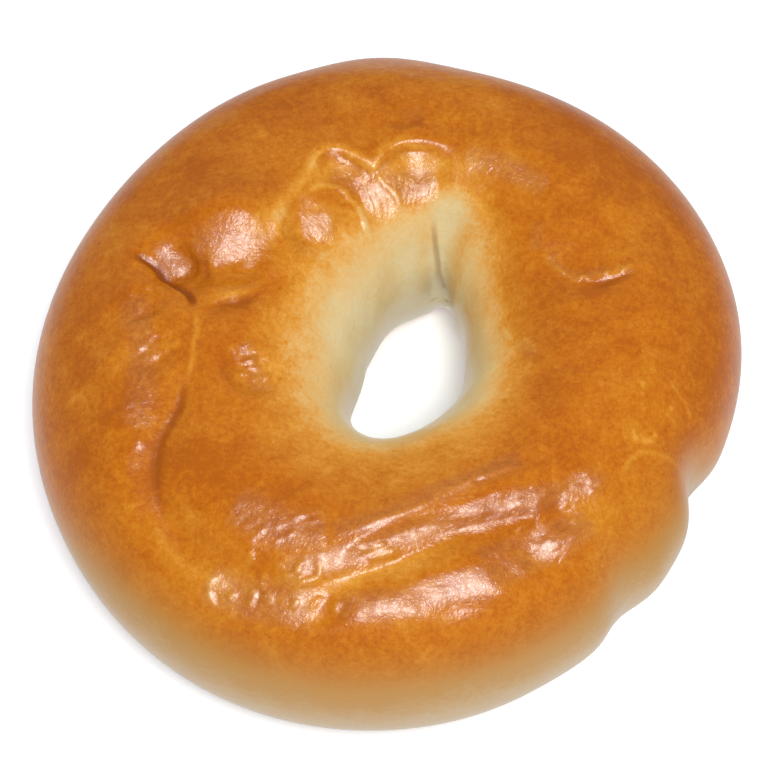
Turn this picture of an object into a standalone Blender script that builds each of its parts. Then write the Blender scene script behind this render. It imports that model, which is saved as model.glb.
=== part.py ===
"""A plain boiled-and-baked bagel, one solid ring of dough.

The ring is a grid: places round the hole, and at each place a closed section that runs
from the rim over the crown, down the wall of the hole and back along the flat foot.
Rim and hole are slow waves about a mean radius. Seams, folds, dents and swellings are
then pushed in or out square to the skin. Plan places are millimetres from the hole's
middle, angles are degrees, anticlockwise from +X.
"""

import bmesh
import bpy
import numpy as np

MM = 0.001

# The ring
HEIGHT = 37.0               # floor to the mean crown
WAIST_HEIGHT = 17.0         # the section is widest here
RIM_RADIUS = 55.1           # mean radius of the rim, about the hole's middle
HOLE_RADIUS = 10.3          # mean radius of the hole at its waist
FOOT_SHARE = 0.54           # part of the ring's width that lies flat on the table
HOLE_PLACE = (3.9, 0.2)     # the hole's middle, from the middle of the whole bagel

# Slow unevenness: waves in a turn, size in millimetres, angle of a crest
RIM_WAVES = ((1, 4.55, 184.4), (2, 1.84, 53.3), (3, 0.77, 16.3), (4, 0.52, 17.0),
             (6, 0.21, 55.4))
HOLE_WAVES = ((1, 0.23, 175.3), (2, 3.22, 72.0), (3, 0.71, 96.5), (4, 0.61, 66.7),
              (5, 0.31, 14.5))
CROWN_WAVES = ((1, 0.5, 215.0), (3, 0.25, 40.0))

# The grid
AROUND_STEPS = 108
CROWN_STEPS = 29            # from the rim's waist over the crown to the hole's waist
CORNER_STEPS = 6            # from a waist down to the foot
FOOT_STEPS = 3

# Seams and folds: the dough is rolled and its strands overlap. Each has a path in plan,
# its height at the path (below the plain ring where negative), how far it reaches to the
# left and to the right of the path, and the share of its length over which either end
# runs out.
FOLDS = {
    "rolled_seam": dict(
        path=((-33, -1), (-34.5, -11.6), (-38, -24), (-36.3, -32), (-30.5, -39.6),
              (-24, -43.6), (-18.5, -45.4), (-12, -44), (-5, -41.6), (1, -38.8),
              (6, -36.4), (13, -35), (21, -32.4), (29, -27)),
        height=-1.5, left=5.5, right=4.5, run_out=0.2),
    "seam_lip": dict(
        path=((-19, -41.5), (-11.5, -40.2), (-5.5, -38), (-0.8, -35.5), (3.8, -33.4),
              (10.5, -31.8), (17, -30.4), (23, -27.4)),
        height=1.0, left=7.0, right=3.4, run_out=0.3),
    "inner_step": dict(
        path=((-12, -36.4), (-5, -33.6), (-0.5, -31), (4, -28.6), (9.5, -25.4),
              (16, -22)),
        height=0.7, left=7.0, right=3.2, run_out=0.3),
    "outer_strand": dict(
        path=((-27, -43), (-16, -47.6), (-6.3, -48.8), (2.1, -48.4), (9.5, -46.5),
              (16.6, -42.8), (22.7, -37.7), (28, -31)),
        height=1.1, left=8.0, right=9.0, run_out=0.25),
    "side_overlap": dict(
        path=((-42.5, 12.5), (-38.8, 9.2), (-35.6, 5.2), (-33, 1.2)),
        height=-1.5, left=5.0, right=2.2, run_out=0.3),
    "side_lip": dict(
        path=((-31.8, 0.6), (-28.3, 1.5), (-25.0, 3.3), (-22.4, 6.4), (-20.8, 10.0)),
        height=-1.0, left=3.2, right=2.6, run_out=0.3),
    "scallop_lip": dict(
        path=((-18, 18), (-16.0, 24.5), (-12.7, 29.3), (-6.2, 27.4),
              (-2, 30.2), (3, 29.8), (8, 28)),
        height=0.8, left=5.5, right=2.4, run_out=0.2),
    "right_lip": dict(
        path=((19.4, 16), (18.7, 11), (22, 6.9), (27, 5.6), (35, 8.2)),
        height=-0.7, left=6.0, right=2.4, run_out=0.3),
}

# Broad dents and swellings of the upper skin: plan place, half length, half width,
# turn of the length, and height above the plain ring, below it where negative.
SWELLINGS = {
    "outer_strand_left": dict(place=(-45, -20), size=(22, 8), turn=102, height=0.8),
    "inner_ring_low": dict(place=(-20, -28), size=(15, 9), turn=-35, height=0.5),
    "side_lobe": dict(place=(-28, 18.5), size=(12, 8), turn=15, height=2.2),
    "side_dent": dict(place=(-34.3, 6.2), size=(6.5, 5), turn=-50, height=-1.0),
    "side_hollow": dict(place=(-26.0, 7.4), size=(6.5, 4), turn=32, height=-1.0),
    "left_pocket": dict(place=(-11.3, 24.6), size=(5.5, 4.4), turn=20, height=-0.8),
    "right_pocket": dict(place=(0.8, 25.8), size=(6, 4.4), turn=0, height=-0.8),
    "right_dent": dict(place=(27.5, 13), size=(11, 8), turn=30, height=-0.9),
    "back_swelling": dict(place=(-3, 42), size=(20, 9), turn=0, height=0.6),
}

# Upright grooves and bulges of the flank: angle, half width in degrees, height.
FLANK_MARKS = {
    "first_notch": dict(angle=309.2, reach=7.3, height=-2.0),
    "bulge_between": dict(angle=317.0, reach=27.5, height=1.6),
    "second_notch": dict(angle=335.0, reach=8.0, height=-2.9),
    "back_bulge": dict(angle=95.0, reach=16.0, height=1.6),
}
FLANK_RUN_OUT = (20.0, 33.0)    # heights between which a flank mark fades into the crown

# The join of the dough's two ends, down the far wall of the hole
HOLE_JOIN = dict(angle=75.0, reach=15.0, depth=1.6)


def waves(table, around):
    """Sum of slow waves at each angle, in millimetres."""
    return sum(size * np.cos(count * (around - np.radians(crest)))
               for count, size, crest in table)


def fade(distance, reach):
    """1 at no distance, falling smoothly to 0 at the reach."""
    share = np.clip(np.abs(distance) / reach, 0.0, 1.0)
    return (1.0 - share * share) ** 2


def ramp(value, low, high):
    """0 below low, 1 above high, smooth between."""
    share = np.clip((value - low) / (high - low), 0.0, 1.0)
    return share * share * (3.0 - 2.0 * share)


def plain_section():
    """One turn of the section: across from -1 at the hole to +1 at the rim, height,
    and the skin's outward direction, as shares (across, up)."""
    over = np.linspace(0.0, np.pi, CROWN_STEPS, endpoint=False)
    crown = np.stack((np.cos(over), np.sin(over)), axis=1)
    down = np.linspace(0.0, np.pi / 2, CORNER_STEPS, endpoint=False)
    side = FOOT_SHARE + (1.0 - FOOT_SHARE) * np.cos(down)
    drop = 1.0 - np.sin(down)
    foot = np.linspace(-FOOT_SHARE, FOOT_SHARE, FOOT_STEPS, endpoint=False)
    up_again = np.pi / 2 - down
    far_side = FOOT_SHARE + (1.0 - FOOT_SHARE) * np.cos(up_again)
    far_drop = 1.0 - np.sin(up_again)

    across = np.concatenate((crown[:, 0], -side, foot, far_side))
    above = np.concatenate((crown[:, 1], np.zeros(len(across) - CROWN_STEPS)))
    below = np.concatenate((np.ones(CROWN_STEPS), drop, np.zeros(FOOT_STEPS), far_drop))
    facing = np.concatenate((crown[:, 0], -np.cos(down), np.zeros(FOOT_STEPS),
                             np.cos(up_again)))
    return across, above, below, facing


def smooth_path(points, pieces=8):
    """A Catmull-Rom curve through the points, as a fine line of points."""
    knots = np.array([points[0], *points, points[-1]], dtype=float)
    line = []
    for before, start, end, after in zip(knots, knots[1:], knots[2:], knots[3:]):
        for t in np.arange(pieces) / pieces:
            line.append(0.5 * (2 * start + (end - before) * t
                               + (2 * before - 5 * start + 4 * end - after) * t ** 2
                               + (3 * start - before - 3 * end + after) * t ** 3))
    line.append(knots[-1])
    return np.array(line)


def beside_path(plan, line):
    """Distance of each plan point from the line, positive to its left, and the share
    of the line's length at which the nearest point lies."""
    start, run = line[:-1], np.diff(line, axis=0)
    length = np.linalg.norm(run, axis=1)
    offset = plan[:, None, :] - start[None, :, :]
    share = np.clip((offset * run).sum(axis=2) / length ** 2, 0.0, 1.0)
    gap = offset - share[..., None] * run
    distance = np.linalg.norm(gap, axis=2)
    nearest = distance.argmin(axis=1)
    row = np.arange(len(plan))
    turn = run[nearest, 0] * gap[row, nearest, 1] - run[nearest, 1] * gap[row, nearest, 0]
    passed = np.concatenate(([0.0], np.cumsum(length)))
    walked = passed[nearest] + share[row, nearest] * length[nearest]
    return np.where(turn >= 0, 1.0, -1.0) * distance[row, nearest], walked / passed[-1]


def fold_relief(plan, path, height, left, right, run_out):
    distance, share = beside_path(plan, smooth_path(path))
    across = np.where(distance >= 0, fade(distance, left), fade(distance, right))
    ends = ramp(share, 0.0, run_out) * ramp(1.0 - share, 0.0, run_out)
    return height * across * ends


def swelling_relief(plan, place, size, turn, height):
    angle = np.radians(turn)
    offset = plan - np.array(place, dtype=float)
    along = offset[:, 0] * np.cos(angle) + offset[:, 1] * np.sin(angle)
    across = offset[:, 1] * np.cos(angle) - offset[:, 0] * np.sin(angle)
    return height * fade(np.hypot(along / size[0], across / size[1]), 1.0)


def angle_between(around, degrees):
    """How far each angle lies from the given one, in degrees, either way."""
    return (np.degrees(around) - degrees + 180.0) % 360.0 - 180.0


def bagel_points():
    """The whole grid of points in millimetres, shape (around, over, 3)."""
    across, above, below, facing = plain_section()
    around = np.linspace(0.0, 2 * np.pi, AROUND_STEPS, endpoint=False)[:, None]
    rim = RIM_RADIUS + waves(RIM_WAVES, around)
    hole = HOLE_RADIUS + waves(HOLE_WAVES, around)
    rise = HEIGHT + waves(CROWN_WAVES, around) - WAIST_HEIGHT
    radius = (rim + hole) / 2 + (rim - hole) / 2 * across
    height = WAIST_HEIGHT * below + rise * above

    # Square to the skin on the upper side, level on the flanks below the waist
    level = facing / ((rim - hole) / 2)
    upward = above / rise
    steep = np.maximum(np.hypot(level, upward), 1e-9)
    level, upward = level / steep, upward / steep

    plan = np.stack((radius * np.cos(around), radius * np.sin(around)), axis=2)
    flat = plan.reshape(-1, 2)
    relief = sum(fold_relief(flat, **fold) for fold in FOLDS.values())
    relief = relief + sum(swelling_relief(flat, **each) for each in SWELLINGS.values())
    relief = relief.reshape(height.shape) * ramp(above, 0.1, 0.45)

    outer = ramp(across, 0.0, FOOT_SHARE)
    flank = outer * ramp(-height, -FLANK_RUN_OUT[1], -FLANK_RUN_OUT[0])
    for mark in FLANK_MARKS.values():
        gap = angle_between(around, mark["angle"])
        relief = relief + mark["height"] * fade(gap, mark["reach"]) * flank
    wall = ramp(-across, 0.45, 0.8)
    gap = angle_between(around, HOLE_JOIN["angle"])
    relief = relief - HOLE_JOIN["depth"] * fade(gap, HOLE_JOIN["reach"]) * wall

    radius = radius + relief * level
    height = height + relief * upward
    return np.stack((radius * np.cos(around) + HOLE_PLACE[0],
                     radius * np.sin(around) + HOLE_PLACE[1], height), axis=2)


def ring_mesh(name, points):
    """Closed mesh from a grid that wraps both ways, faces outward."""
    rows, columns = points.shape[:2]
    shape = bmesh.new()
    grid = [[shape.verts.new(point * MM) for point in row] for row in points]
    for row in range(rows):
        for column in range(columns):
            following, over = (row + 1) % rows, (column + 1) % columns
            shape.faces.new((grid[row][column], grid[following][column],
                             grid[following][over], grid[row][over]))
    bmesh.ops.recalc_face_normals(shape, faces=shape.faces)
    mesh = bpy.data.meshes.new(name)
    shape.to_mesh(mesh)
    shape.free()
    mesh.shade_smooth()
    return mesh


def crust_material():
    material = bpy.data.materials.new("golden_crust")
    material.use_nodes = True
    shader = material.node_tree.nodes["Principled BSDF"]
    shader.inputs["Base Color"].default_value = (0.56, 0.19, 0.02, 1.0)
    shader.inputs["Roughness"].default_value = 0.38
    shader.inputs["Metallic"].default_value = 0.0
    return material


def main():
    for thing in list(bpy.data.objects):
        bpy.data.objects.remove(thing)
    mesh = ring_mesh("bagel", bagel_points())
    mesh.materials.append(crust_material())
    bagel = bpy.data.objects.new("bagel", mesh)
    bpy.context.scene.collection.objects.link(bagel)


main()
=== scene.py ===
"""A plain bagel: the looks of its crust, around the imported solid.

The crust is turned from a ring, laid on the solid's own form, and then folded, dented
and wrinkled like baked dough. Lengths in the tables are millimetres; plan places are
measured from the middle of the hole, and angles are degrees anticlockwise from +X.
"""

import math
import random

import bpy
import numpy as np
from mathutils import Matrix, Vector


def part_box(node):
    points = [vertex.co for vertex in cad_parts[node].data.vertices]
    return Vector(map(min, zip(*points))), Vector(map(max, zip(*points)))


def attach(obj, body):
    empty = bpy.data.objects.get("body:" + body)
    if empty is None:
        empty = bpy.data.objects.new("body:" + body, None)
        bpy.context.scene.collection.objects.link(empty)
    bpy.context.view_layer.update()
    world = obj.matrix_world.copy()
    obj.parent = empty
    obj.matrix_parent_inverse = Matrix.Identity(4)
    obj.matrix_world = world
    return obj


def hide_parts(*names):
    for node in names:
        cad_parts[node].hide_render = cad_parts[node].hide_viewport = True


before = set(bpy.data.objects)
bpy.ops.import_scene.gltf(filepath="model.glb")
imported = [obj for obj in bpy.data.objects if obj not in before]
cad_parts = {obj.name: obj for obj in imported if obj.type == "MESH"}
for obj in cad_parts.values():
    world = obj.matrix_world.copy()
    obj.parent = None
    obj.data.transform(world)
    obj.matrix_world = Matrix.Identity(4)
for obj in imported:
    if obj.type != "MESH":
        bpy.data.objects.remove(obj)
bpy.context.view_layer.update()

MM = 0.001
SOLID = "bagel"
HOLE_PLACE = (3.9, 0.2)         # the hole's middle, from the middle of the bagel
LOW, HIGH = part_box(SOLID)
HEIGHT = (HIGH.z - LOW.z) / MM
WAIST_HEIGHT = 17.0             # where the section is widest

# The ring that the crust starts from
RING_RADIUS = 33.0
STRAND_RADIUS = 21.0
AROUND_STEPS = 180
OVER_STEPS = 112
SHOWN_HEIGHT = 12.0             # the skin above this is cut finer
WALL_RADIUS = 18.0              # inside this the ring is fine enough already
UPPER_SKIN = 20.0               # strokes given in plan lie on the skin above this

# Strokes on the skin: places the line runs through, its height there (a crease where
# negative), how far it reaches to its left and right, the share of its length over which
# the ends run out, how much paler (or browner, where negative) the bake is there, which
# on some lips and ridges is a painted highlight, and how much painted shade darkens the
# crease.
STROKES = {
    "seam_crease": dict(
        path=((-33.0, -8.8), (-34.1, -12.4), (-34.9, -15.5), (-36.3, -18.2),
              (-37.6, -21.4), (-38.0, -25.4), (-37.2, -30.1), (-35.6, -33.6)),
        height=-0.28, left=1.3, right=0.9, run_out=0.3, bake_and_painted_light=-0.16, painted_shade=0.40),
    "seam_pale_line": dict(
        path=((-32.8, 1.2), (-32.6, -0.9), (-32.3, -3.1), (-32.8, -5.2), (-33.0, -8.0),
              (-34.1, -12.4)),
        height=0.10, left=0.7, right=0.8, run_out=0.3, bake_and_painted_light=0.25, painted_shade=0.0),
    "seam_pale_patch": dict(
        path=((-38.2, -5.6), (-35.6, -5.2), (-33.6, -5.6)),
        height=0.15, left=1.0, right=1.6, run_out=0.35, bake_and_painted_light=0.16, painted_shade=0.0),
    # Paler along the ridge, partly as a painted highlight.
    "seam_pale_ridge": dict(
        path=((-39.6, -30.0), (-37.6, -34.0), (-34.6, -37.6), (-31.2, -40.2),
              (-28.0, -41.8), (-25.0, -42.8)),
        height=0.35, left=1.3, right=2.0, run_out=0.3, bake_and_painted_light=0.12, painted_shade=0.0),
    "side_crease": dict(
        path=((-43.6, 11.8), (-40.8, 10.2), (-38.8, 9.0), (-36.4, 6.7), (-34.8, 4.9),
              (-33.7, 3.2), (-33.3, 1.7), (-32.9, 0.3)),
        height=-0.5, left=0.9, right=0.8, run_out=0.22, bake_and_painted_light=-0.25, painted_shade=0.75),
    "side_wedge": dict(
        path=((-32.6, 12.2), (-32.4, 10.0), (-32.1, 7.8), (-32.2, 5.6)),
        height=-0.2, left=1.4, right=1.4, run_out=0.4, bake_and_painted_light=-0.12, painted_shade=0.15),
    # The hollow's floor is painted a little paler where it is lit: painted light.
    "hollow_floor": dict(
        path=((-29.4, 4.8), (-27.0, 6.2), (-24.8, 7.8), (-22.2, 9.6)),
        height=-0.4, left=1.8, right=1.6, run_out=0.35, bake_and_painted_light=0.05, painted_shade=0.0),
    # The lip is painted paler, partly as a painted highlight on its lit bank.
    "hollow_lip": dict(
        path=((-32.0, 2.9), (-30.1, 2.6), (-28.0, 3.3), (-26.2, 3.9), (-24.3, 4.9),
              (-22.6, 7.0)),
        height=0.28, left=1.6, right=0.8, run_out=0.3, bake_and_painted_light=0.16, painted_shade=0.0),
    "hollow_crease": dict(
        path=((-31.9, 0.6), (-29.7, 1.2), (-27.9, 1.9), (-26.1, 2.6), (-24.4, 3.7),
              (-22.8, 5.4)),
        height=-0.3, left=0.8, right=1.5, run_out=0.35, bake_and_painted_light=-0.10, painted_shade=0.3),
    "pale_band": dict(
        path=((-21.2, 12.8), (-20.7, 16.6), (-19.6, 19.8), (-18.2, 21.9), (-16.6, 24.2),
              (-15.2, 26.4), (-13.4, 28.6)),
        height=0.15, left=1.8, right=1.4, run_out=0.2, bake_and_painted_light=0.22, painted_shade=0.0),
    "scallop_edge": dict(
        path=((-15.8, 24.2), (-15.3, 27.1), (-14.2, 28.5), (-12.7, 29.3), (-11.2, 29.1),
              (-9.1, 27.9), (-7.3, 27.1), (-6.2, 26.5), (-5.4, 27.8), (-4.6, 28.9),
              (-3.1, 29.8), (-1.6, 30.3), (0.3, 30.0), (2.1, 29.8), (5.0, 29.6)),
        height=0.16, left=1.8, right=0.6, run_out=0.12, bake_and_painted_light=0.20, painted_shade=0.0),
    "scallop_shade": dict(
        path=((-14.8, 24.5), (-14.4, 27.2), (-12.6, 28.3), (-9.6, 27.2), (-6.4, 25.4),
              (-4.2, 27.6), (-1.6, 29.2), (2.0, 28.8)),
        height=-0.10, left=0.5, right=1.4, run_out=0.15, bake_and_painted_light=-0.14, painted_shade=0.12),
    "inner_scallop": dict(
        path=((-17.6, 20.6), (-15.6, 22.2), (-13.8, 23.0), (-12.4, 23.3), (-11.2, 23.0),
              (-10.0, 21.9), (-8.8, 20.7), (-7.8, 19.3), (-7.3, 17.6), (-6.8, 15.6)),
        height=0.20, left=0.9, right=0.7, run_out=0.2, bake_and_painted_light=0.20, painted_shade=0.0),
    "middle_scallop": dict(
        path=((-5.9, 26.6), (-5.0, 24.5), (-3.3, 23.3), (-2.5, 22.1), (-2.0, 20.4)),
        height=0.16, left=0.8, right=0.7, run_out=0.3, bake_and_painted_light=0.14, painted_shade=0.0),
    "back_crease": dict(
        path=((-4.9, 34.9), (-3.0, 33.7), (-1.2, 33.4), (0.9, 34.3), (1.9, 35.9)),
        height=-0.3, left=1.4, right=1.2, run_out=0.3, bake_and_painted_light=-0.08, painted_shade=0.22),
    # Paler along the lip, partly as a painted highlight.
    "right_lip": dict(
        path=((20.0, 16.8), (19.4, 13.4), (20.4, 10.2), (22.2, 8.2), (25.2, 6.9),
              (28.6, 7.2), (32.2, 8.2), (35.8, 9.6)),
        height=0.10, left=1.4, right=0.9, run_out=0.35, bake_and_painted_light=0.08, painted_shade=0.0),
    "right_lip_front": dict(
        path=((21.0, 9.6), (22.4, 8.0), (25.2, 6.9), (28.6, 7.2), (32.2, 8.2),
              (35.8, 9.6)),
        height=0.12, left=1.6, right=1.0, run_out=0.25, bake_and_painted_light=0.05, painted_shade=0.0),
    "right_crease": dict(
        path=((25.6, 5.4), (28.6, 5.9), (31.4, 6.9), (34.6, 8.6)),
        height=-0.22, left=0.8, right=1.2, run_out=0.35, bake_and_painted_light=-0.14, painted_shade=0.25),
    "inner_edge": dict(
        path=((-12.0, -36.8), (-7.2, -35.4), (-0.3, -33.1), (4.0, -30.6), (8.5, -27.8),
              (13.2, -26.0), (16.9, -22.8)),
        height=0.27, left=1.4, right=0.9, run_out=0.2, bake_and_painted_light=0.05, painted_shade=0.0),
    "lip_edge": dict(
        path=((-20.0, -42.6), (-14.6, -42.0), (-10.4, -41.2), (-6.1, -40.2),
              (-2.0, -38.2), (0.6, -36.9), (4.0, -34.9), (10.5, -33.0), (17.0, -31.4),
              (23.0, -28.4)),
        height=0.22, left=1.6, right=1.4, run_out=0.3, bake_and_painted_light=0.02, painted_shade=0.0),
    "seam_floor": dict(
        path=((-19.0, -45.4), (-12.2, -43.4), (-6.1, -42.0), (-1.0, -40.4),
              (3.8, -38.2), (9.4, -36.6)),
        height=-0.1, left=1.8, right=3.0, run_out=0.3, bake_and_painted_light=0.22, painted_shade=0.0),
}

# Short raised crumples of the skin, painted paler along them, partly as a painted
# highlight on their tops
CRUMPLES = (
    ((-28.6, -40.6), (-29.6, -41.6), (-29.9, -43.0), (-29.1, -45.2)),
    ((-21.6, -41.0), (-22.4, -43.4)),
    ((-23.3, -42.8), (-23.5, -44.2), (-24.2, -46.0)),
    ((-14.4, -39.2), (-13.8, -41.3), (-14.3, -42.6), (-16.6, -43.1), (-18.2, -44.4)),
    ((-16.0, -39.9), (-17.6, -42.4)),
    ((-15.3, -46.8), (-13.5, -44.6)),
    ((-11.4, -45.2), (-11.9, -47.6)),
    ((-27.4, -44.2), (-25.8, -43.2)),
    ((-17.9, -46.6), (-16.7, -44.9)),
    ((-24.1, -38.0), (-23.5, -40.4)),
    ((-19.2, -42.5), (-17.5, -41.8)),
    ((-21.3, -43.4), (-21.0, -45.8)),
    ((-9.0, -39.4), (-6.4, -38.8), (-3.4, -38.0)),
    ((-7.6, -40.3), (-4.6, -39.4), (-1.8, -38.6)),
    ((20.8, 10.0), (22.2, 8.5), (23.4, 8.0)),
    ((24.6, 7.4), (26.6, 7.0)),
    ((28.2, 7.2), (29.6, 8.2)),
    ((30.8, 7.9), (33.4, 9.2)),
)
CRUMPLE = dict(height=0.30, left=0.8, right=0.8, run_out=0.3, bake_and_painted_light=0.12, painted_shade=0.0)

# Thin pale cracks in the bake, hardly raised
CRACKS = (
    ((32.0, -17.8), (32.4, -19.2), (33.6, -19.7), (35.0, -19.0), (35.9, -17.3)),
    ((29.6, -25.8), (31.2, -23.4), (32.6, -21.8), (34.2, -21.0), (35.6, -20.9),
     (37.7, -20.8), (40.2, -21.4)),
    ((33.7, -10.6), (33.8, -11.7)),
    ((33.5, -12.3), (33.9, -13.0)),
    ((33.6, -14.6), (33.9, -15.4)),
    ((37.8, -9.2), (38.8, -10.8), (40.2, -12.2), (41.6, -14.4)),
    ((37.9, -13.4), (38.2, -14.2)),
    ((16.2, -1.6), (17.6, -3.6), (18.0, -5.4)),
    ((13.6, 1.0), (14.8, -1.6)),
)
CRACK = dict(height=0.06, left=0.6, right=0.6, run_out=0.15, bake_and_painted_light=0.18, painted_shade=0.0)

# The join of the dough's ends: a crease down the far wall of the hole, darkened with
# painted shade, as heights and the angle it stands at
WALL_SEAM_HEIGHTS = (12.0, 18.0, 20.0, 23.0, 26.0, 28.0, 32.0)
WALL_SEAM_ANGLES = (73.5, 75.0, 75.8, 77.0, 79.0, 80.3, 82.5)
WALL_SEAM = dict(reach=0.55, height=-0.3, painted_shade=0.45, radius=24.0)
WALL_NOTCH = dict(reach=3.0, height=-1.1)       # the pinch that the seam ends in

# Facets of the dough, where the skin leans another way than the ring: plan place, half
# sizes, turn in degrees, and how much steeper it runs towards +X and +Y
FACETS = (
    ((-29.6, 12.0), (13.8, 7.4), 18.0, (0.08, 0.21)),
    ((-36.8, 9.8), (4.4, 3.6), -30.0, (-0.24, 0.24)),
    ((-14.8, 16.8), (6.4, 5.8), 0.0, (0.12, 0.13)),
    ((-6.0, 22.3), (4.6, 4.4), 0.0, (0.08, 0.11)),
    ((0.8, 27.6), (5.8, 3.6), 0.0, (0.0, -0.14)),
    ((-10.9, 25.8), (4.0, 3.0), 0.0, (0.0, -0.05)),
    ((0.4, -38.0), (13.0, 4.2), 18.0, (0.09, -0.19)),
    ((17.0, -39.0), (8.0, 5.0), 30.0, (0.09, 0.13)),
    ((17.0, -31.0), (9.0, 3.8), 20.0, (0.08, 0.02)),
    ((24.0, -29.8), (7.0, 4.6), 30.0, (0.16, 0.03)),
    ((21.0, -36.4), (8.8, 5.2), 20.0, (0.14, 0.10)),
    ((-15.0, -46.4), (7.0, 3.8), 0.0, (-0.12, 0.06)),
    ((7.6, -44.4), (10.5, 4.2), 8.0, (0.05, 0.04)),
    ((-39.8, -5.6), (6.0, 5.2), 0.0, (-0.11, 0.15)),
    ((-41.8, 2.6), (5.0, 4.6), 0.0, (-0.11, 0.15)),
    ((-24.0, -8.6), (5.4, 5.6), 0.0, (0.10, 0.16)),
)
FACET_EDGE = 0.6                # how much of a facet its soft edge takes
FACET_SINK = 0.65               # how far it is pressed in, as a share of its full rise

# Small blisters scattered over part of the skin: plan place, half sizes, how many, and
# how steep, as height over width
BLISTERS = (
    ((-41.6, 2.4), (2.8, 3.6), 26, 0.28),
    ((-45.6, -5.0), (2.6, 1.8), 9, 0.30),
    ((-39.0, -6.2), (3.6, 3.6), 40, 0.26),
    ((-42.4, -16.0), (5.0, 2.0), 10, 0.28),
    ((-41.4, -20.4), (1.8, 0.8), 8, 0.28),
    ((-24.0, -8.4), (2.8, 4.2), 30, 0.24),
    ((29.0, -25.0), (4.4, 5.0), 30, 0.20),
    ((20.5, -36.0), (6.0, 3.6), 24, 0.20),
    ((24.0, -30.0), (6.0, 3.0), 24, 0.16),
    ((17.0, -10.0), (4.0, 6.0), 6, 0.24),
    ((-22.0, -33.0), (9.0, 5.0), 44, 0.18),
    ((14.0, -26.0), (6.0, 3.0), 18, 0.20),
    ((28.0, -2.0), (6.0, 6.0), 10, 0.22),
)
BLISTER_SIZES = (0.45, 0.8)
BLISTER_STRETCH = 2.3           # they are longer than wide, and mostly lie this way
BLISTER_TURN = (10.0, 55.0)
BLISTER_SEED = 5

# Browner spots of the bake: plan place, size, how much
SPOTS = (
    ((-32.9, 26.2), 3.2, 0.14), ((31.9, -5.6), 2.8, 0.16), ((36.0, -7.3), 1.6, 0.14),
    ((-49.9, -21.2), 4.0, 0.16), ((-38.1, -25.7), 7.5, 0.14), ((26.6, 4.4), 2.6, 0.12),
    ((-44.0, 4.0), 4.5, 0.10), ((-43.0, -36.0), 6.0, 0.14), ((-26.0, -52.0), 5.0, 0.12),
    ((-50.0, -8.0), 4.0, 0.12), ((25.0, -31.0), 7.0, -0.14), ((8.0, -53.5), 5.0, 0.06),
    ((-21.0, -31.0), 6.0, 0.07), ((-42.0, -14.0), 7.0, 0.12), ((-30.0, -27.0), 8.0, 0.12),
    ((-27.0, -43.0), 7.0, -0.14), ((-16.0, -43.0), 8.0, -0.14), ((6.0, -45.0), 8.0, 0.05),
    ((30.0, 24.0), 6.0, 0.08), ((-6.0, 41.0), 5.0, 0.08), ((12.0, 38.0), 5.0, -0.08),
    ((8.8, 27.8), 4.5, -0.16), ((1.0, 28.0), 4.5, 0.16),
    ((-7.0, 28.6), 3.0, 0.06),
)

# Where the skin is most wrinkled: a line, how far it reaches either side, how much, and
# the share of the wrinkles that run along the ring and not over the strand
WRINKLED = (
    (((-14, -46.6), (-4, -46.4), (3, -44.8), (10, -42.4), (16, -39.4), (23, -34.6),
      (27, -30.5)), 4.4, 0.9, 0.4),
    (((-31, -41), (-24, -44.5), (-14, -46.4)), 5.0, 0.85, 0.0),
    (((-22, -41.6), (-11, -40), (0, -36.0), (10, -33.0), (21, -29.4), (30, -24.6)),
     3.5, 0.9, 0.8),
    (((8, -39.5), (16, -36.5), (23, -32.5)), 3.0, 0.75, 0.5),
    (((-14, -36.5), (-5, -34.5), (2, -30.8), (9, -27.4), (17, -23.4)), 3.5, 0.8, 0.8),
    (((-27, -31), (-20, -35), (-12, -37)), 6.0, 0.8, 0.9),
    (((-35, 11.6), (-27, 12.4), (-21.5, 14)), 7.0, 0.64, 0.3),
    (((-39.5, 10.6), (-34, 8.8)), 3.4, 1.0, 0.5),
    (((-30, 3.6), (-23, 6.2)), 1.8, 0.5, 0.5),
    (((-17, 16), (-12, 17)), 4.0, 0.8, 0.4),
    (((-13, 25.5), (-8, 23.5)), 4.0, 0.7, 0.6),
    (((-8, 21), (-5, 22.5), (-1, 24.5), (4, 25)), 4.0, 0.9, 0.0),
    (((-43, 5), (-40.5, -6), (-41, -20)), 5.0, 0.75, 0.6),
    (((7, 28.5), (13, 27), (21, 22)), 4.5, 0.75, 0.5),
    (((19, 17), (18.5, 12)), 2.5, 0.6, 0.3),
    (((20, 12), (24, 7.4), (30, 8.4)), 2.5, 0.6, 0.5),
    (((16, -2), (18, -6)), 2.5, 0.6, 0.2),
    (((-26, -4), (-24, -8), (-22, -13)), 3.2, 0.7, 0.6),
    (((-2, 35), (2, 36)), 3.0, 0.5, 0.2),
)
ACROSS_ROWS = (190.0, 34.0)     # wrinkles in a turn round the ring, and over the strand
ALONG_ROWS = (60.0, 105.0)
WRINKLE_HEIGHT = 0.19
DOUGH_LUMP = 9.0                # the dough's slow unevenness: its size and height
DOUGH_HEIGHT = 0.8


# ---------------------------------------------------------------- small tools

def only(piece):
    """Makes the piece the one selected and active object."""
    bpy.ops.object.select_all(action="DESELECT")
    piece.select_set(True)
    bpy.context.view_layer.objects.active = piece


def apply_modifier(piece, kind, name, **settings):
    """Adds one modifier with its settings and applies it."""
    only(piece)
    modifier = piece.modifiers.new(name, kind)
    for setting, value in settings.items():
        setattr(modifier, setting, value)
    bpy.ops.object.modifier_apply(modifier=name)


def skin_points(piece):
    """The piece's points in millimetres, plan places from the hole's middle."""
    flat = np.empty(len(piece.data.vertices) * 3)
    piece.data.vertices.foreach_get("co", flat)
    return flat.reshape(-1, 3) / MM - (HOLE_PLACE[0], HOLE_PLACE[1], 0.0)


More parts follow.
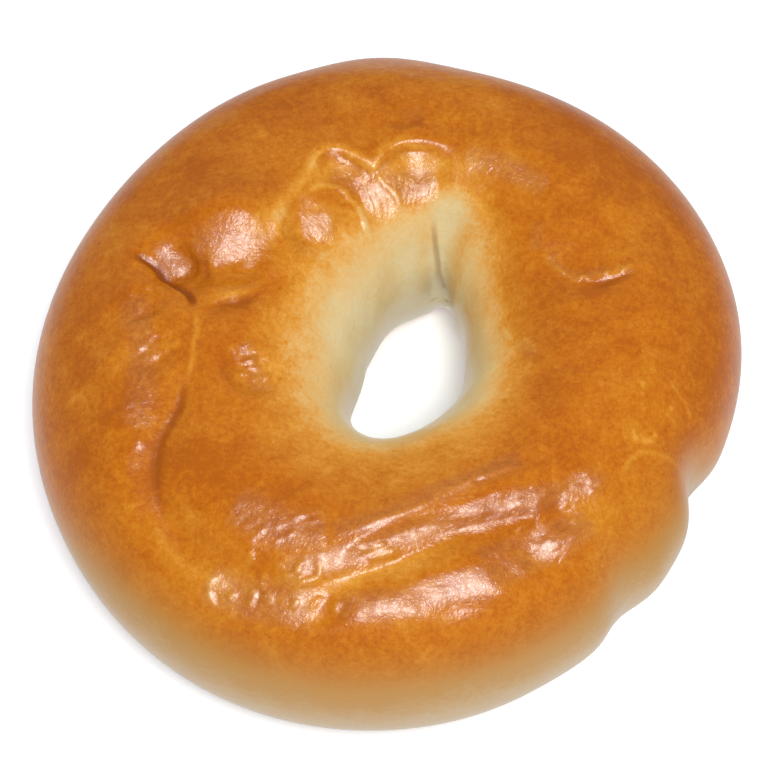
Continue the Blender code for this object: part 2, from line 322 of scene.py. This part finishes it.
def fade(distance, reach):
    """1 at no distance, falling smoothly to 0 at the reach."""
    share = np.clip(np.abs(distance) / reach, 0.0, 1.0)
    return (1.0 - share * share) ** 2


def ramp(value, low, high):
    """0 below low, 1 above high, smooth between."""
    share = np.clip((value - low) / (high - low), 0.0, 1.0)
    return share * share * (3.0 - 2.0 * share)


# ---------------------------------------------------------------- the crust's form

def guide_solid():
    """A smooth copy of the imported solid, which the crust is laid on."""
    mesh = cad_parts[SOLID].data.copy()
    guide = bpy.data.objects.new("form_guide", mesh)
    bpy.context.scene.collection.objects.link(guide)
    only(guide)
    bpy.ops.object.mode_set(mode="EDIT")
    bpy.ops.mesh.select_all(action="SELECT")
    bpy.ops.mesh.remove_doubles(threshold=0.000002)
    bpy.ops.mesh.tris_convert_to_quads(face_threshold=math.radians(60),
                                       shape_threshold=math.radians(60))
    bpy.ops.mesh.normals_make_consistent(inside=False)
    bpy.ops.object.mode_set(mode="OBJECT")
    apply_modifier(guide, "SUBSURF", "round", levels=2, render_levels=2)
    return guide


def select_faces(piece, wanted):
    """Selects the faces whose middle point passes the test, in millimetres."""
    mesh = piece.data
    middles = np.empty(len(mesh.polygons) * 3)
    mesh.polygons.foreach_get("center", middles)
    places = middles.reshape(-1, 3) / MM - (HOLE_PLACE[0], HOLE_PLACE[1], 0.0)
    bpy.ops.object.mode_set(mode="EDIT")
    bpy.ops.mesh.select_all(action="DESELECT")
    bpy.ops.object.mode_set(mode="OBJECT")
    mesh.polygons.foreach_set("select", wanted(places))
    bpy.ops.object.mode_set(mode="EDIT")
    bpy.ops.mesh.select_mode(type="FACE")


def crust_blank(guide):
    """A ring of skin on the solid's form, finer where it shows and where it folds."""
    bpy.ops.object.select_all(action="DESELECT")
    bpy.ops.mesh.primitive_torus_add(
        major_segments=AROUND_STEPS, minor_segments=OVER_STEPS,
        major_radius=RING_RADIUS * MM, minor_radius=STRAND_RADIUS * MM,
        location=(HOLE_PLACE[0] * MM, HOLE_PLACE[1] * MM, WAIST_HEIGHT * MM))
    crust = bpy.context.object
    crust.name = crust.data.name = "bagel_crust"
    only(crust)
    bpy.ops.object.transform_apply(location=True, rotation=True, scale=True)
    lay_on = dict(target=guide, wrap_method="NEAREST_SURFACEPOINT")
    for layer in range(4):
        apply_modifier(crust, "SHRINKWRAP", "lay_on", **lay_on)
        apply_modifier(crust, "SMOOTH", "ease", factor=0.5, iterations=8)
    apply_modifier(crust, "SHRINKWRAP", "lay_on", **lay_on)
    for wanted in (shown, near_strokes, along_wall_seam):
        select_faces(crust, wanted)
        bpy.ops.mesh.subdivide(number_cuts=1)
        bpy.ops.object.mode_set(mode="OBJECT")
        apply_modifier(crust, "SHRINKWRAP", "lay_on", **lay_on)
    apply_modifier(crust, "SMOOTH", "ease", factor=0.5, iterations=4)
    bpy.ops.object.shade_smooth()
    return crust


# ---------------------------------------------------------------- strokes on the skin

def smooth_path(points, pieces=6):
    """A Catmull-Rom curve through the points, as a fine line of points."""
    knots = np.array([points[0], *points, points[-1]], dtype=float)
    line = []
    for before, start, end, after in zip(knots, knots[1:], knots[2:], knots[3:]):
        for t in np.arange(pieces) / pieces:
            line.append(0.5 * (2 * start + (end - before) * t
                               + (2 * before - 5 * start + 4 * end - after) * t ** 2
                               + (3 * start - before - 3 * end + after) * t ** 3))
    line.append(knots[-1])
    return np.array(line)


def stroke(place, path, left, right, run_out, **unused):
    """1 along the path, falling to 0 at its reach to the left and to the right."""
    line = smooth_path(path)
    reach = max(left, right)
    within = np.all((place[:, :2] > line.min(axis=0) - reach)
                    & (place[:, :2] < line.max(axis=0) + reach), axis=1)
    near = np.flatnonzero(within & (place[:, 2] > UPPER_SKIN))
    start, run = line[:-1], np.diff(line, axis=0)
    length = np.linalg.norm(run, axis=1)
    offset = place[near, None, :2] - start
    share = np.clip((offset * run).sum(axis=2) / length ** 2, 0.0, 1.0)
    gap = offset - share[..., None] * run
    distance = np.linalg.norm(gap, axis=2)
    nearest = distance.argmin(axis=1)
    row = np.arange(len(near))
    gap, run_there = gap[row, nearest], run[nearest]
    side = run_there[:, 0] * gap[:, 1] - run_there[:, 1] * gap[:, 0]
    distance = distance[row, nearest]
    passed = np.concatenate(([0.0], np.cumsum(length)))
    walked = (passed[nearest] + share[row, nearest] * length[nearest]) / passed[-1]
    amount = np.where(side >= 0, fade(distance, left), fade(distance, right))
    amount = amount * ramp(walked, 0.0, run_out) * ramp(1.0 - walked, 0.0, run_out)
    whole = np.zeros(len(place))
    whole[near] = amount
    return whole


def facet(place, centre, size, turn, slope):
    """How much a leaning facet lifts each point, 0 outside it."""
    offset = place[:, :2] - centre
    along = np.radians(turn)
    run = (offset[:, 0] * np.cos(along) + offset[:, 1] * np.sin(along)) / size[0]
    over = (offset[:, 1] * np.cos(along) - offset[:, 0] * np.sin(along)) / size[1]
    inside = ramp(1.0 - np.hypot(run, over), 0.0, FACET_EDGE) * (place[:, 2] > UPPER_SKIN)
    rise = FACET_SINK * math.hypot(*slope) * min(size)
    return inside * (offset @ np.array(slope) - rise)


def blisters(place):
    chance = random.Random(BLISTER_SEED)
    relief = np.zeros(len(place))
    for middle, spread, count, steepness in BLISTERS:
        for blister in range(count):
            turn, gap = chance.uniform(0.0, math.tau), math.sqrt(chance.random())
            x = middle[0] + spread[0] * gap * math.cos(turn)
            y = middle[1] + spread[1] * gap * math.sin(turn)
            size = chance.uniform(*BLISTER_SIZES)
            height = size * steepness * chance.uniform(0.6, 1.2)
            lies = math.radians(chance.uniform(*BLISTER_TURN))
            run = (place[:, 0] - x) * math.cos(lies) + (place[:, 1] - y) * math.sin(lies)
            rise = (place[:, 1] - y) * math.cos(lies) - (place[:, 0] - x) * math.sin(lies)
            relief += height * fade(np.hypot(run / BLISTER_STRETCH, rise), size)
    return relief * (place[:, 2] > UPPER_SKIN)


def all_strokes():
    yield from STROKES.values()
    for path in CRACKS:
        yield dict(CRACK, path=path)
    for path in CRUMPLES:
        yield dict(CRUMPLE, path=path)


def shown(place):
    """True on the upper skin outside the hole's wall, and along the wall's seam."""
    outside = np.hypot(place[:, 0], place[:, 1]) > WALL_RADIUS
    return (place[:, 2] > SHOWN_HEIGHT) & (outside | (beside_wall_seam(place) < 2.0))


def along_wall_seam(place):
    return (beside_wall_seam(place) < 1.2) & (place[:, 2] > 16.0) & (
        np.hypot(place[:, 0], place[:, 1]) < WALL_SEAM["radius"])


def beside_wall_seam(place):
    """How far each point of the hole's wall is from its seam, sideways."""
    stands = np.interp(place[:, 2], WALL_SEAM_HEIGHTS, WALL_SEAM_ANGLES)
    around = np.arctan2(place[:, 1], place[:, 0])
    radius = np.hypot(place[:, 0], place[:, 1])
    return np.abs(np.radians(angle_between(around, stands))) * radius


def wrinkled_amounts(place):
    """How wrinkled each point is, across the strand and along the ring."""
    across, along = np.zeros(len(place)), np.zeros(len(place))
    for path, reach, most, lengthwise in WRINKLED:
        amount = most * stroke(place, path, reach, reach, 0.1)
        across = np.maximum(across, amount * (1.0 - lengthwise))
        along = np.maximum(along, amount * lengthwise)
    return across, along


def near_strokes(place):
    """True on the skin close to any stroke, the wall's seam, or where it wrinkles."""
    close = sum(wrinkled_amounts(place)) * 0.3
    for mark in all_strokes():
        close = np.maximum(close, stroke(place, mark["path"], 1.6, 1.6, 0.01))
    near_seam = (beside_wall_seam(place) < 1.5) & (place[:, 2] > SHOWN_HEIGHT)
    return (close > 0.05) | near_seam


def wall_seam(place):
    """1 along the join in the far wall of the hole, 0 beside it."""
    inner = np.hypot(place[:, 0], place[:, 1]) < WALL_SEAM["radius"]
    return (fade(beside_wall_seam(place), WALL_SEAM["reach"]) * inner
            * ramp(place[:, 2], 12.0, 17.0) * ramp(-place[:, 2], -31.0, -27.0))


def wall_notch(place):
    """1 in the pinch at the seam's foot, 0 beside it."""
    inner = np.hypot(place[:, 0], place[:, 1]) < WALL_SEAM["radius"]
    return (fade(beside_wall_seam(place), WALL_NOTCH["reach"]) * inner
            * ramp(-place[:, 2], -24.0, -15.0))


def push_skin(piece, name, amounts, **settings):
    """Moves the skin along its normals, by vertex group and Displace modifier."""
    most = float(np.abs(amounts).max())
    group = piece.vertex_groups.new(name=name)
    for index in np.flatnonzero(amounts):
        group.add([int(index)], abs(float(amounts[index])) / most, "REPLACE")
    strength = math.copysign(most, amounts[np.abs(amounts).argmax()]) * MM
    settings.setdefault("mid_level", 0.0)
    apply_modifier(piece, "DISPLACE", name, vertex_group=name, strength=strength,
                   direction="NORMAL", **settings)
    piece.vertex_groups.remove(piece.vertex_groups[name])


def clouds_texture(name, size, depth):
    texture = bpy.data.textures.new(name, "CLOUDS")
    texture.noise_scale, texture.noise_depth = size, depth
    return texture


def wrinkle(piece, name, rows, amounts):
    """Wrinkles the skin in rows, by a texture on a stretched copy of the ring's UV."""
    mesh = piece.data
    flat = np.empty(len(mesh.loops) * 2)
    mesh.uv_layers[0].uv.foreach_get("vector", flat)
    stretched = mesh.uv_layers.new(name="rows")
    stretched.uv.foreach_set("vector", (flat.reshape(-1, 2) * rows).ravel())
    push_skin(piece, name, amounts, mid_level=0.5, texture_coords="UV", uv_layer="rows",
              texture=clouds_texture(name, 1.0, 1))
    piece.data.uv_layers.remove(piece.data.uv_layers["rows"])


def fold_skin(crust):
    place = skin_points(crust)
    normals = skin_normals(crust)
    relief = sum(mark["height"] * stroke(place, **mark) for mark in all_strokes())
    relief = relief + WALL_SEAM["height"] * wall_seam(place)
    relief = relief + WALL_NOTCH["height"] * wall_notch(place)
    relief = relief + sum(facet(place, *leaning) for leaning in FACETS)
    relief = relief + blisters(place)
    upper = ramp(place[:, 2], 12.0, 24.0) * ramp(-outward_share(place, normals), -0.8, -0.5)
    across, along = wrinkled_amounts(place)
    push_skin(crust, "swell", np.where(relief > 0.001, relief, 0.0))
    push_skin(crust, "press", np.where(relief < -0.001, relief, 0.0))
    push_skin(crust, "dough", DOUGH_HEIGHT * upper, mid_level=0.5,
              texture=clouds_texture("dough", DOUGH_LUMP * MM, 2), texture_coords="LOCAL")
    wrinkle(crust, "across", ACROSS_ROWS, WRINKLE_HEIGHT * across * upper)
    wrinkle(crust, "along", ALONG_ROWS, WRINKLE_HEIGHT * along * upper)
    crust.data.shade_smooth()


# ---------------------------------------------------------------- shader tools

class Value:
    """A shader value: arithmetic on it adds the Math nodes."""

    def __init__(self, bench, socket):
        self.bench, self.socket = bench, socket

    def math(self, operation, *others, clamp=False):
        node = self.bench.tree.nodes.new("ShaderNodeMath")
        node.operation, node.use_clamp = operation, clamp
        for slot, value in zip(node.inputs, (self, *others)):
            self.bench.plug(value, slot)
        return Value(self.bench, node.outputs[0])

    def swapped(self, operation, other):
        return self.bench.value(other).math(operation, self)

    def __add__(self, other): return self.math("ADD", other)
    def __radd__(self, other): return self.math("ADD", other)
    def __sub__(self, other): return self.math("SUBTRACT", other)
    def __rsub__(self, other): return self.swapped("SUBTRACT", other)
    def __mul__(self, other): return self.math("MULTIPLY", other)
    def __rmul__(self, other): return self.math("MULTIPLY", other)
    def __truediv__(self, other): return self.math("DIVIDE", other)
    def __pow__(self, other): return self.math("POWER", other)

    def clamped(self):
        return self.math("ADD", 0.0, clamp=True)


class Bench:
    """The node tree of one material, or of the world."""

    def __init__(self, owner):
        owner.use_nodes = True
        self.owner, self.tree = owner, owner.node_tree
        self.shader = next(node for node in self.tree.nodes if node.outputs)

    def plug(self, value, slot):
        if isinstance(value, Value):
            value = value.socket
        if isinstance(value, bpy.types.NodeSocket):
            self.tree.links.new(value, slot)
        else:
            slot.default_value = value

    def value(self, number):
        if isinstance(number, Value):
            return number
        node = self.tree.nodes.new("ShaderNodeValue")
        node.outputs[0].default_value = number
        return Value(self, node.outputs[0])

    def node(self, kind, settings=(), output=0, **sockets):
        """Any node: its settings first, then its sockets by name, spaces as _."""
        node = self.tree.nodes.new(kind)
        for setting, value in dict(settings).items():
            setattr(node, setting, value)
        for name, value in sockets.items():
            spoken = name.replace("_", " ").strip()
            slot = next(s for s in node.inputs if s.name == spoken and s.enabled)
            self.plug(value, slot)
        return Value(self, node.outputs[output])

    def vector(self, operation, *parts):
        node = self.tree.nodes.new("ShaderNodeVectorMath")
        node.operation = operation
        for slot, part in zip(node.inputs, parts):
            self.plug(part, slot)
        return Value(self, node.outputs[0])

    def mixed(self, share, first, second):
        """A colour between two, by the share of the second."""
        node = self.tree.nodes.new("ShaderNodeMix")
        node.data_type = "RGBA"
        slots = [s for s in node.inputs if s.enabled]
        self.plug(share, slots[0])
        self.plug(first, slots[1])
        self.plug(second, slots[2])
        return next(s for s in node.outputs if s.enabled)

    def attribute(self, name):
        return self.node("ShaderNodeAttribute", {"attribute_name": name}, output=2)

    def between(self, value, low, high, start=0.0, end=1.0):
        return self.node("ShaderNodeMapRange", {"interpolation_type": "SMOOTHSTEP"},
                         Value=value, From_Min=low, From_Max=high, To_Min=start, To_Max=end)


def shade(red, green, blue):
    return (red, green, blue, 1.0)


# ---------------------------------------------------------------- masks on the skin

def paint(piece, name, amounts):
    """Keeps an amount for each point of the skin, for the material to read."""
    attribute = piece.data.attributes.new(name, "FLOAT", "POINT")
    attribute.data.foreach_set("value", np.asarray(amounts, dtype=np.float32))


def skin_normals(piece):
    flat = np.empty(len(piece.data.vertices) * 3)
    piece.data.vertices.foreach_get("normal", flat)
    return flat.reshape(-1, 3)


def angle_between(around, degrees):
    return (np.degrees(around) - degrees + 180.0) % 360.0 - 180.0


def outward_share(place, normals):
    """1 where the skin faces away from the hole, -1 where it faces into it."""
    radius = np.hypot(place[:, 0], place[:, 1])
    return (place[:, 0] * normals[:, 0] + place[:, 1] * normals[:, 1]) / radius


def paint_crust(crust):
    """The bake, 0 browned and 1 the hole's wall, with a painted highlight on some lips and
    ridges; the tan flank; painted shade in the creases; wrinkles.
    """
    place = skin_points(crust)
    normals = skin_normals(crust)
    around = np.arctan2(place[:, 1], place[:, 0])
    outward = outward_share(place, normals)
    late = np.maximum(fade(angle_between(around, 20.0), 78.0),
                      0.45 * fade(angle_between(around, 258.0), 50.0))
    start = 0.15 + 0.26 * late
    bake_and_painted_light = 0.14 + (0.84 - 0.16 * late) * ramp((-outward - start) / (0.92 - start), 0.0, 1.0)
    bake_and_painted_light -= 0.03 * ramp(outward, 0.45, 0.95)
    # Painted shade in the wall seam's crease and in the strokes' creases; the strokes' paler
    # bake is partly a painted highlight.
    painted_shade = WALL_SEAM["painted_shade"] * wall_seam(place)
    for mark in all_strokes():
        amount = stroke(place, **mark)
        bake_and_painted_light += mark["bake_and_painted_light"] * amount
        painted_shade = np.maximum(painted_shade, mark["painted_shade"] * amount)
    for spot, size, depth in SPOTS:
        gap = np.hypot(place[:, 0] - spot[0], place[:, 1] - spot[1])
        bake_and_painted_light -= depth * fade(gap, size) * (place[:, 2] > UPPER_SKIN)
    paint(crust, "bake_and_painted_light", np.clip(bake_and_painted_light, 0, 1))
    paint(crust, "painted_shade", painted_shade)

    near = ramp(1.0 - np.abs(angle_between(around, 274.0)) / 86.0, 0.0, 0.5)
    flank = ramp(outward, 0.22, 1.05) * near * ramp(-place[:, 2], -37, -8)
    paint(crust, "flank", np.clip(flank, 0, 1))
    across, along = wrinkled_amounts(place)
    upper = ramp(place[:, 2], 14.0, 24.0)
    paint(crust, "across", np.maximum(0.12, across) * upper)
    paint(crust, "along", np.maximum(0.12, along) * upper)


# ---------------------------------------------------------------- materials

CRUST_TONES = (
    (0.00, (0.410, 0.098, 0.0012)),
    (0.14, (0.490, 0.136, 0.0018)),
    (0.30, (0.555, 0.190, 0.0080)),
    (0.50, (0.660, 0.278, 0.0300)),
    (0.70, (0.700, 0.418, 0.1300)),
    (0.86, (0.680, 0.530, 0.2600)),
    (1.00, (0.675, 0.610, 0.3850)),
)
# The painted shade that creases are darkened towards.
CREASE_SHADE_TONE = (0.20, 0.040, 0.004, 1.0)
FLANK_TONES = (
    (0.0, (0.470, 0.200, 0.0220)),
    (0.5, (0.430, 0.218, 0.0500)),
    (1.0, (0.460, 0.305, 0.1350)),
)


def tone_ramp(bench, share, tones):
    node = bench.tree.nodes.new("ShaderNodeValToRGB")
    stops = node.color_ramp.elements
    while len(stops) < len(tones):
        stops.new(0.5)
    for stop, (place, colour) in zip(stops, tones):
        stop.position = place
        stop.color = shade(*colour)
    bench.plug(share, node.inputs[0])
    return node.outputs[0]


def streaks(bench, where):
    """Fine wrinkles over the strand, and along the ring, from polar coordinates."""
    middle = bench.vector("SUBTRACT", where, (HOLE_PLACE[0], HOLE_PLACE[1], 0.0))
    flat = bench.vector("MULTIPLY", middle, (1.0, 1.0, 0.0))
    radius = bench.node("ShaderNodeVectorMath", {"operation": "LENGTH"}, output=1, Vector=flat)
    round_it = bench.vector("NORMALIZE", flat)
    over = bench.node("ShaderNodeCombineXYZ", {}, Z=radius)
    across = bench.vector("ADD", bench.vector("MULTIPLY", round_it, (37.0, 37.0, 0.0)),
                          bench.vector("MULTIPLY", over, (0.0, 0.0, 0.35)))
    along = bench.vector("ADD", bench.vector("MULTIPLY", round_it, (13.0, 13.0, 0.0)), over)
    rows = [bench.node("ShaderNodeTexNoise", {}, Vector=rows_at, Scale=1.1, Detail=1.5,
                       Roughness=0.45, Distortion=0.5) for rows_at in (across, along)]
    return rows


def crust_material():
    bench = Bench(bpy.data.materials.new("bagel_crust"))
    where = bench.node("ShaderNodeTexCoord", output=3)
    where = bench.node("ShaderNodeVectorMath", {"operation": "SCALE"}, Vector=where,
                       Scale=1.0 / MM)

    def noise(scale, detail=2.0, **more):
        return bench.node("ShaderNodeTexNoise", {}, Vector=where, Scale=scale,
                          Detail=detail, **more)

    unevenness = ((noise(0.05, 3.0) - 0.5) * 0.5 + (noise(0.3, 4.0) - 0.5) * 0.34
                  + (noise(1.1, 2.0) - 0.5) * 0.36 + (noise(2.4, 1.0) - 0.5) * 0.24)
    freckles = bench.between(noise(0.8, 1.0, Distortion=0.5), 0.64, 0.78)
    gold = bench.between(noise(0.22, 2.0, Distortion=1.0), 0.58, 0.75)
    bake_and_light_read = bench.attribute("bake_and_painted_light")
    calm = bench.between(bake_and_light_read, 0.45, 0.85, 1.0, 0.4)
    bake_and_painted_light = bake_and_light_read + (unevenness - freckles * 0.10 + gold * 0.10) * calm
    top = tone_ramp(bench, bake_and_painted_light, CRUST_TONES)
    flank = bench.attribute("flank")
    low = tone_ramp(bench, flank + unevenness, FLANK_TONES)
    skin = bench.mixed(bench.between(flank, 0.0, 0.45), top, low)
    # Creases are darkened towards the painted shade tone.
    skin = bench.mixed(bench.attribute("painted_shade"), skin, CREASE_SHADE_TONE)
    bench.plug(skin, bench.shader.inputs["Base Color"])

    across, along = streaks(bench, where)
    crackle = noise(1.45, 2.0, Roughness=0.55, Distortion=0.4)
    run_across, run_along = bench.attribute("across"), bench.attribute("along")
    height = (across * run_across * 0.6 + along * run_along * 0.7
              + crackle * (run_across + run_along) * 1.7)
    bump = bench.node("ShaderNodeBump", {}, Height=height, Strength=1.0, Distance=0.00016)
    bench.plug(bump, bench.shader.inputs["Normal"])
    sheen = bench.between(run_across + run_along, 0.28, 0.95)
    bench.plug(sheen, bench.shader.inputs["Coat Weight"])
    bench.shader.inputs["Coat Roughness"].default_value = 0.40
    bench.shader.inputs["Coat IOR"].default_value = 1.65
    bench.shader.inputs["Roughness"].default_value = 0.30
    bench.shader.inputs["Specular IOR Level"].default_value = 0.46
    return bench.owner


def floor_material():
    bench = Bench(bpy.data.materials.new("pale_floor"))
    bench.shader.inputs["Base Color"].default_value = shade(0.8, 0.8, 0.8)
    bench.shader.inputs["Roughness"].default_value = 0.7
    bench.shader.inputs["Emission Color"].default_value = shade(0.75, 0.88, 1.0)
    bench.shader.inputs["Emission Strength"].default_value = 0.35
    return bench.owner


# ---------------------------------------------------------------- stage, light, camera

def lay_floor():
    bpy.ops.object.select_all(action="DESELECT")
    bpy.ops.mesh.primitive_plane_add(size=3.0, location=(0, 0, LOW.z - 0.00005))
    floor = bpy.context.object
    floor.name = "pale_floor"
    floor.data.materials.append(floor_material())
    floor.visible_glossy = False


HORIZON_LIGHT = 0.75
BACK_LIGHT = 0.60               # how much brighter the dome is behind the bagel
GLEAM_LIGHT = 1.00              # what the glossy skin mirrors from below the horizon
ZENITH_LIGHT = 0.25
KEY_TURN = 14.0
KEY_RISE = 66.0
KEY_SIZE = 0.26
KEY_POWER = 7.7


def soft_light(name, azimuth, elevation, distance, size, power):
    """An area light that looks at the bagel."""
    light = bpy.data.lights.new(name, "AREA")
    light.shape, light.size, light.energy = "DISK", size, power
    lamp = bpy.data.objects.new(name, light)
    turn, rise = math.radians(azimuth), math.radians(elevation)
    away = Vector((math.sin(turn) * math.cos(rise), -math.cos(turn) * math.cos(rise),
                   math.sin(rise)))
    lamp.location = away * distance
    lamp.rotation_euler = away.to_track_quat("Z", "Y").to_euler()
    bpy.context.scene.collection.objects.link(lamp)


def light_studio():
    """A dim dome that brightens towards the horizon, and a key lamp by the camera."""
    world = bpy.data.worlds.new("studio")
    bench = Bench(world)
    direction = bench.node("ShaderNodeTexCoord", output=0)
    back = bench.node("ShaderNodeSeparateXYZ", output=1, Vector=direction)
    up = bench.node("ShaderNodeSeparateXYZ", output=2, Vector=direction)
    dome = (bench.between(up, 0.15, 0.9, HORIZON_LIGHT, ZENITH_LIGHT)
            + bench.between(back, 0.0, 0.9, 0.0, BACK_LIGHT))
    gleam = bench.between(up, -0.80, -0.05, GLEAM_LIGHT, 0.0)
    mirrored = bench.node("ShaderNodeLightPath", output=3)
    bench.plug(dome * (1 - mirrored) + gleam * mirrored, bench.shader.inputs["Strength"])
    bench.shader.inputs["Color"].default_value = shade(1.0, 1.0, 1.0)
    bpy.context.scene.world = world
    soft_light("key", KEY_TURN, KEY_RISE, 1.0, KEY_SIZE, KEY_POWER)
    bpy.context.scene.view_settings.view_transform = "Standard"


CAMERA_RISE = 62.0              # elevation above the table
CAMERA_DISTANCE = 0.45
CAMERA_LENS = 136.15
AIM = (-0.7, -1.67, 18.0)       # millimetres, from the bagel's origin


def set_camera():
    camera_data = bpy.data.cameras.new("camera")
    camera_data.lens, camera_data.sensor_width = CAMERA_LENS, 36.0
    camera = bpy.data.objects.new("camera", camera_data)
    rise = math.radians(CAMERA_RISE)
    away = Vector((0.0, -math.cos(rise), math.sin(rise)))
    camera.location = Vector(AIM) * MM + away * CAMERA_DISTANCE
    camera.rotation_euler = away.to_track_quat("Z", "Y").to_euler()
    bpy.context.scene.collection.objects.link(camera)
    bpy.context.scene.camera = camera


# ---------------------------------------------------------------- the bagel

def make_bagel():
    guide = guide_solid()
    crust = crust_blank(guide)
    bpy.data.objects.remove(guide)
    paint_crust(crust)
    fold_skin(crust)
    crust.data.materials.clear()
    crust.data.materials.append(crust_material())
    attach(crust, "root")
    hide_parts(SOLID)


set_camera()
light_studio()
lay_floor()
make_bagel()
